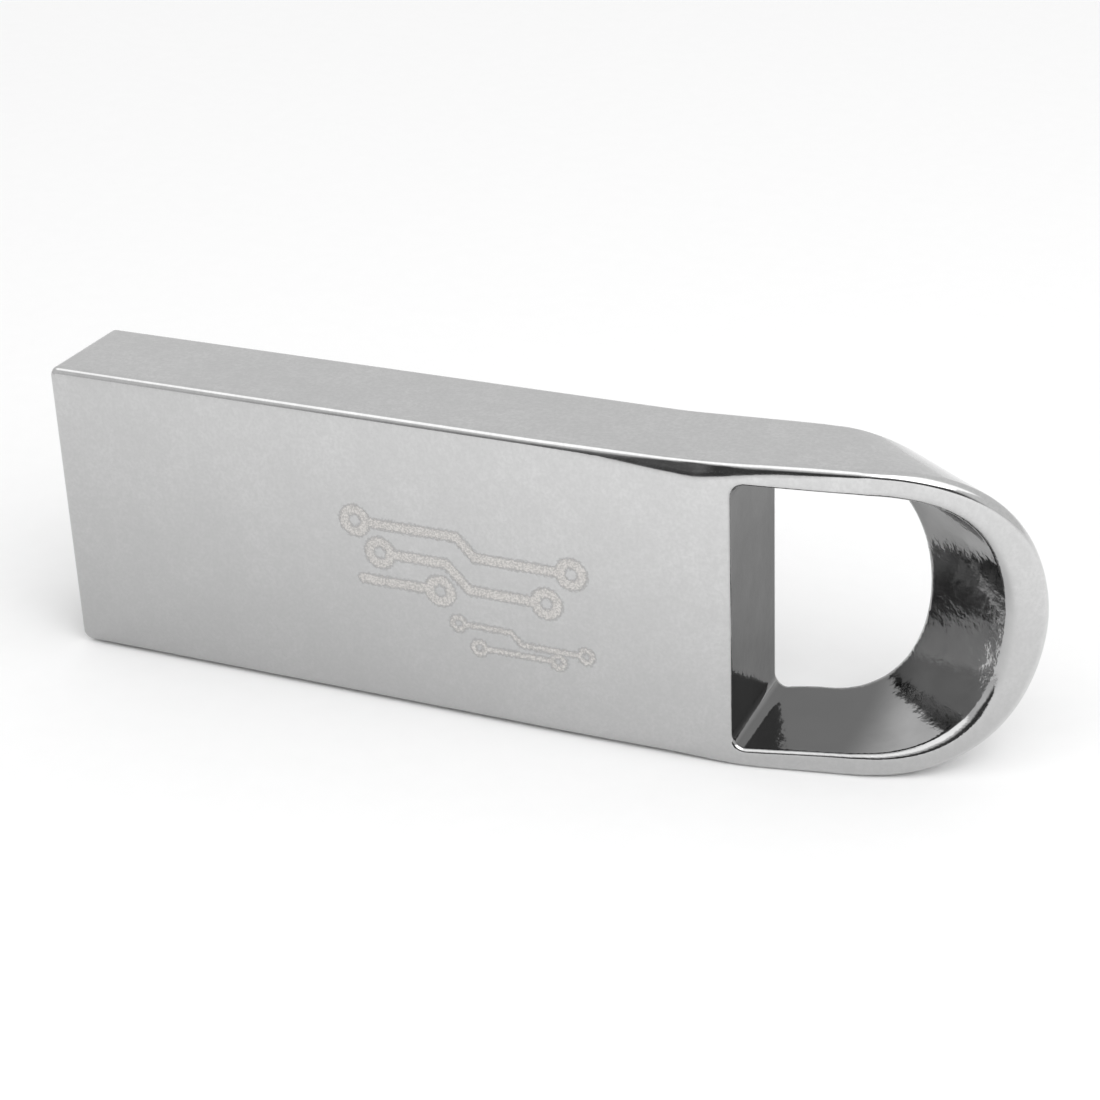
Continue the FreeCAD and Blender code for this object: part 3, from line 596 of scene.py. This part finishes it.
def hole_side(x, y, z):
    share = y / OUTLINE_SPACING
    centre, _, end_half, _ = [between(pair, share) for pair in zip(*HOLE)]
    to_wall = np.clip((centre - x) / (centre - HOLE_WALL_X - HOLE_CORNER_RADIUS), 0.0, HOLE_SIDES_END)
    half = between((end_half, between(HOLE_HALF_AT_WALL, share)), to_wall**2)
    return rounded_end(x, z, HOLE, share, half)


def slope_of(field, x, y, z, step=1e-3):
    steps = ((step, 0, 0), (0, step, 0), (0, 0, step))
    rises = [field(x + a, y + b, z + c) - field(x - a, y - b, z - c) for a, b, c in steps]
    return np.stack(rises) / (2 * step)


def as_distance(field, x, y, z):
    """A field divided by its steepness, so that it reads as a distance near its surface."""
    steepness = np.sqrt((slope_of(field, x, y, z, step=1e-4) ** 2).sum(0))
    return field(x, y, z) / np.maximum(steepness, LEAST_STEEPNESS)


def outside_of_box(x, y, z, low, high):
    return np.maximum.reduce([np.maximum(a - v, v - b) for v, a, b in zip((x, y, z), low, high)])


def outer_skin(x, y, z):
    """Distance outside the shell's outer skin, with neither the hole nor the mouth cut into it."""
    z = np.abs(z)
    walls = both(as_distance(outer_side, x, y, z), -x, END_CORNER_RADIUS)
    rim = between((MOUTH_EDGE_RADIUS, EDGE_RADIUS), ease(x, *MOUTH_EDGE_X))
    front_rim = rim + (TIP_EDGE_RADIUS - EDGE_RADIUS) * ease(x, FRONT_CURL_X, TIP_END_X)
    skin = both(both(walls, front_face(x, y), front_rim), back_face(x, y), rim)
    bevel = z * math.sin(BEVEL_TILT) - y * math.cos(BEVEL_TILT) - smooth_line(x, BEVEL_LINE) + BEVEL_SINK
    return both(skin, bevel, BEVEL_EDGE_RADIUS)


def shell_field(x, y, z):
    """Distance outside the whole metal shell; negative in the metal."""
    hole = both(as_distance(hole_side, x, y, z), HOLE_WALL_X - x, HOLE_CORNER_RADIUS)
    front_rim = between((HOLE_EDGE_RADIUS, HOLE_TIP_EDGE_RADIUS), ease(x, *HOLE_TIP_X))
    hole_rim = between((front_rim, HOLE_BACK_EDGE_RADIUS), ease(y, *HOLE_BACK_Y))
    shell = both(outer_skin(x, y, z), -hole, hole_rim)
    low = (-CUT_CLEARANCE, WALL, WALL - HALF_WIDTH)
    high = (CAVITY_DEPTH, THICKNESS - WALL, HALF_WIDTH - WALL)
    shell = both(shell, -outside_of_box(x, y, z, low, high), CAVITY_EDGE_RADIUS)
    low = (WINDOW_X[0], THICKNESS - 2 * WALL, WINDOW_OFFSET - WINDOW_HALF)
    high = (WINDOW_X[1], THICKNESS + CUT_CLEARANCE, WINDOW_OFFSET + WINDOW_HALF)
    return both(shell, -outside_of_box(x, y, np.abs(z), low, high), WINDOW_EDGE_RADIUS)


def grid_lines(stretches):
    """Lines along one axis, fine only where the shell bends."""
    lines = [
        np.linspace(start, end, max(round((end - start) / step), 1), endpoint=False)
        for start, end, step in stretches
    ]
    return np.append(np.concatenate(lines), stretches[-1][1])


def shell_net():
    """Corners and quads on the shell's surface: one corner in each grid cell that the surface crosses."""
    x, y, half = [grid_lines(stretches) for stretches in (X_STRETCHES, Y_STRETCHES, Z_STRETCHES)]
    lines = (x, y, np.concatenate([-half[:0:-1], half]))
    inside = shell_field(*np.meshgrid(*lines, indexing="ij")) < 0

    numbers = np.full([len(line) - 1 for line in lines], -1)
    crossings, rings = [], []
    for axis in range(3):
        low, high = np.delete(inside, -1, axis), np.delete(inside, 0, axis)
        where = np.argwhere(low != high)
        crossings.append(points_on_edges(lines, where, axis))
        rings.append((cells_round_edges(where, axis), low[tuple(where.T)]))
    cells = np.unique(np.concatenate([ring.reshape(-1, 3) for ring, _ in rings]), axis=0)
    numbers[tuple(cells.T)] = np.arange(len(cells))
    quads = [numbers[tuple(np.moveaxis(ring, -1, 0))] for ring, _ in rings]
    corners = corners_from_planes(len(cells), np.concatenate(crossings, 1), np.concatenate(quads))
    facing = [np.where(leaving[:, None], quad, quad[:, ::-1]) for quad, (_, leaving) in zip(quads, rings)]
    return corners, np.concatenate(facing)


def points_on_edges(lines, where, axis):
    """Where the surface crosses grid edges, found by halving."""
    start = np.stack([lines[i][where[:, i]] for i in range(3)])
    end = start.copy()
    end[axis] = lines[axis][where[:, axis] + 1]
    starts_inside = shell_field(*start) < 0
    for _ in range(HALVINGS):
        middle = (start + end) / 2
        same_side = (shell_field(*middle) < 0) == starts_inside
        start = np.where(same_side, middle, start)
        end = np.where(same_side, end, middle)
    return (start + end) / 2


def cells_round_edges(where, axis):
    """The four grid cells round each grid edge, in turning order."""
    ring = np.repeat(where[:, None, :], 4, axis=1)
    for place, (back_u, back_v) in enumerate(((1, 1), (0, 1), (0, 0), (1, 0))):
        ring[:, place, (axis + 1) % 3] -= back_u
        ring[:, place, (axis + 2) % 3] -= back_v
    return ring


def corners_from_planes(count, crossings, rings):
    """One corner per cell, where the tangent planes of its crossings meet, so that creases stay true."""
    slope = slope_of(shell_field, *crossings)
    normal = slope / np.sqrt((slope**2).sum(0))
    middle, used = np.zeros((count, 3)), np.zeros(count)
    for ring in rings.T:
        np.add.at(middle, ring, crossings.T)
        np.add.at(used, ring, 1)
    middle /= used[:, None]
    matrix, right = np.tile(np.eye(3) * CORNER_PULL, (count, 1, 1)), np.zeros((count, 3))
    for ring in rings.T:
        np.add.at(matrix, ring, np.einsum("in,jn->nij", normal, normal))
        offset = (normal.T * (crossings.T - middle[ring])).sum(1)
        np.add.at(right, ring, normal.T * offset[:, None])
    corners = (middle + np.linalg.solve(matrix, right[:, :, None])[:, :, 0]).T
    for _ in range(CORNER_STEPS):
        slope = slope_of(shell_field, *corners)
        corners -= slope * shell_field(*corners) / np.maximum((slope**2).sum(0), LEAST_STEEPNESS)
    return corners


def build_shell():
    """The finished housing: the CAD body's shape with every edge softly rounded and its normals exact."""
    corners, quads = shell_net()
    low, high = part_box("housing")
    start = np.array([low.x, low.y, (low.z + high.z) / 2])
    mesh = bpy.data.meshes.new("housing_shell")
    mesh.from_pydata((corners.T * MM + start).tolist(), [], quads.tolist())
    normals = slope_of(shell_field, *corners).T
    mesh.normals_split_custom_set_from_vertices(normals / np.linalg.norm(normals, axis=1)[:, None])
    under_skin = mesh.attributes.new("under_skin", "FLOAT", "POINT")
    under_skin.data.foreach_set("value", ease(-outer_skin(*corners), *SKIN_DEPTH))
    shell = bpy.data.objects.new("housing_shell", mesh)
    bpy.context.scene.collection.objects.link(shell)
    mesh.materials.append(polished_body())
    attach(shell, "root")
    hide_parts("housing")


# ---------------------------------------------------------------- studio

def build_floor():
    """A wide round sheet of pale card under the drive."""
    mesh = bpy.data.meshes.new("floor")
    turns = [2 * math.pi * side / FLOOR_SIDES for side in range(FLOOR_SIDES)]
    rim = [(FLOOR_RADIUS * math.cos(turn), FLOOR_RADIUS * math.sin(turn), 0.0) for turn in turns]
    mesh.from_pydata(rim, [], [tuple(range(FLOOR_SIDES))])
    floor = bpy.data.objects.new("floor", mesh)
    bpy.context.scene.collection.objects.link(floor)
    material, nodes, shader, place = new_material("pale_card", Roughness=0.9, Specular_IOR_Level=0.0)
    fibre = nodes.noise(place, *FLOOR_FIBRE)
    nodes.put(shader.inputs["Base Color"], nodes.mix(fibre, *map(grey, FLOOR_TONES)))
    mesh.materials.append(material)


def build_world():
    """Soft light all round, a strip light high up in front, a dim room below it; the camera sees white."""
    world = bpy.data.worlds.new("studio")
    bpy.context.scene.world = world
    world.use_nodes = True
    nodes = Nodes(world.node_tree)
    direction = nodes.make("ShaderNodeTexCoord").outputs["Generated"]
    height = nodes.make("ShaderNodeSeparateXYZ", {0: direction}).outputs["Z"]
    facing = nodes.vector("DOT_PRODUCT", direction, FRONT)

    light = nodes.ramp(height, *OVERHEAD_HEIGHT, HORIZON_LIGHT, OVERHEAD_LIGHT)
    dim = nodes.math("MULTIPLY", nodes.ramp(facing, *DIM_FACING), nodes.ramp(height, *DIM_TOP, 1.0, 0.0))
    light = nodes.math("MULTIPLY", light, nodes.ramp(dim, 0.0, 1.0, 1.0, DIM_SHARE, smooth=False))
    below_top = nodes.ramp(height, *STRIP_TOP, 1.0, 0.0)
    strip = nodes.math("MULTIPLY", nodes.ramp(height, *STRIP_BOTTOM), below_top)
    strip = nodes.math("MULTIPLY", strip, nodes.ramp(facing, *STRIP_FACING, 0.0, STRIP_LIGHT))
    light = nodes.math("ADD", light, strip)
    colour = nodes.make("ShaderNodeCombineColor", {0: light, 1: light, 2: light}).outputs[0]
    seen = nodes.make("ShaderNodeLightPath").outputs["Is Camera Ray"]
    background = world.node_tree.nodes["Background"]
    nodes.put(background.inputs["Color"], nodes.mix(seen, colour, grey(1.0)))


def build_lights():
    """One soft light near the drive, above and to the right of the camera's side, which makes the shadow."""
    data = bpy.data.lights.new("softbox", "AREA")
    data.shape = "DISK"
    data.size = SOFTBOX_SIZE
    data.energy = SOFTBOX_WATTS
    light = bpy.data.objects.new("softbox", data)
    bpy.context.scene.collection.objects.link(light)
    light.location = SOFTBOX_PLACE
    light.rotation_euler = (-SOFTBOX_PLACE).to_track_quat("-Z", "Y").to_euler()


def build_camera():
    """The camera looks down at the front face from the loop's side."""
    back = CAMERA_RIGHT.cross(CAMERA_UP)
    turn = Matrix((CAMERA_RIGHT, CAMERA_UP, back)).transposed()
    data = bpy.data.cameras.new("camera")
    data.lens = LENS_MM
    data.sensor_width = SENSOR_MM
    data.clip_start = NEAREST_SEEN
    data.clip_end = FARTHEST_SEEN
    camera = bpy.data.objects.new("camera", data)
    camera.matrix_world = Matrix.Translation(CAMERA_PLACE) @ turn.to_4x4()
    bpy.context.scene.collection.objects.link(camera)
    bpy.context.scene.camera = camera


bpy.context.scene.view_settings.view_transform = "Standard"
dress_the_drive()
build_shell()
build_floor()
build_world()
build_lights()
build_camera()
